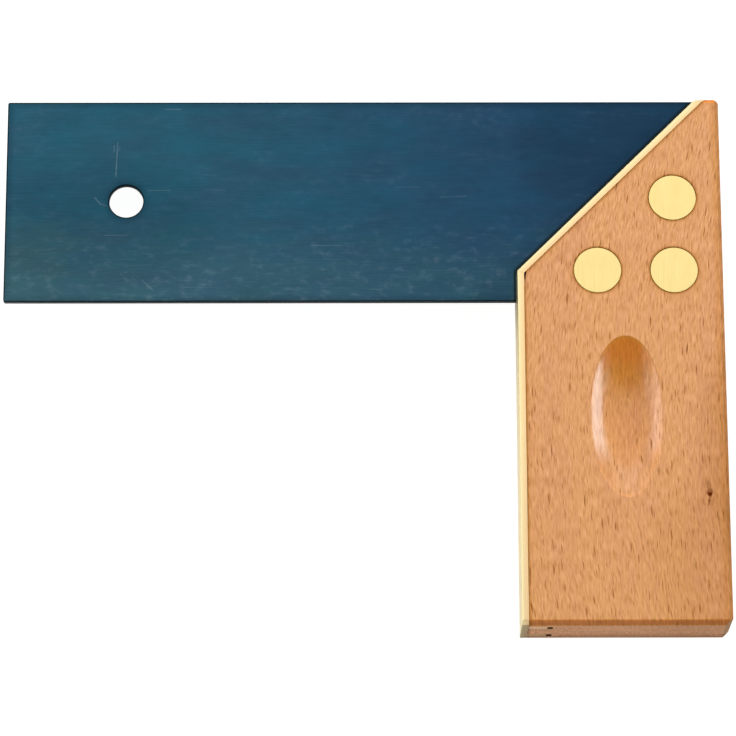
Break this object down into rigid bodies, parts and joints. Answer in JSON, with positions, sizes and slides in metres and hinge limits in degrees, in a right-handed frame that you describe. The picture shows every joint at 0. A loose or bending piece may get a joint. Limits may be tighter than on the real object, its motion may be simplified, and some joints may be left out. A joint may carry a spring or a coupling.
{
  "type": "try and mitre square",
  "caption": "Joiner's try square: flat blued steel blade riveted into a thick beech stock with brass-faced square and mitre edges and thumb grooves.",
  "frame": {"origin": "middle of the whole square's box in plan, at the stock's back face, on which the square lies", "axes": "+X from the blade's tip towards the stock, +Y along the stock towards the blade's outer edge, +Z out of the stock's front face"},
  "size_m": [0.21, 0.161, 0.018],
  "materials": {
    "blued_steel": "blued spring steel, fine brush lines along the blade, light handling marks",
    "beech": "steamed beech, grain along the stock, satin lacquer",
    "facing_brass": "fine ground, long lines along the strip",
    "rosette_brass": "filed flush and brushed"
  },
  "bodies": {
    "root": {"blade": "blued_steel", "stock": "beech", "inner_facing": "facing_brass", "mitre_facing_front": "facing_brass", "mitre_facing_back": "facing_brass", "front_rosette_inner": "rosette_brass", "front_rosette_outer": "rosette_brass", "front_rosette_upper": "rosette_brass", "back_rosette_inner": "rosette_brass", "back_rosette_outer": "rosette_brass", "back_rosette_upper": "rosette_brass", "rivet_inner": "rosette_brass", "rivet_outer": "rosette_brass", "rivet_upper": "rosette_brass"}
  },
  "joints": []
}
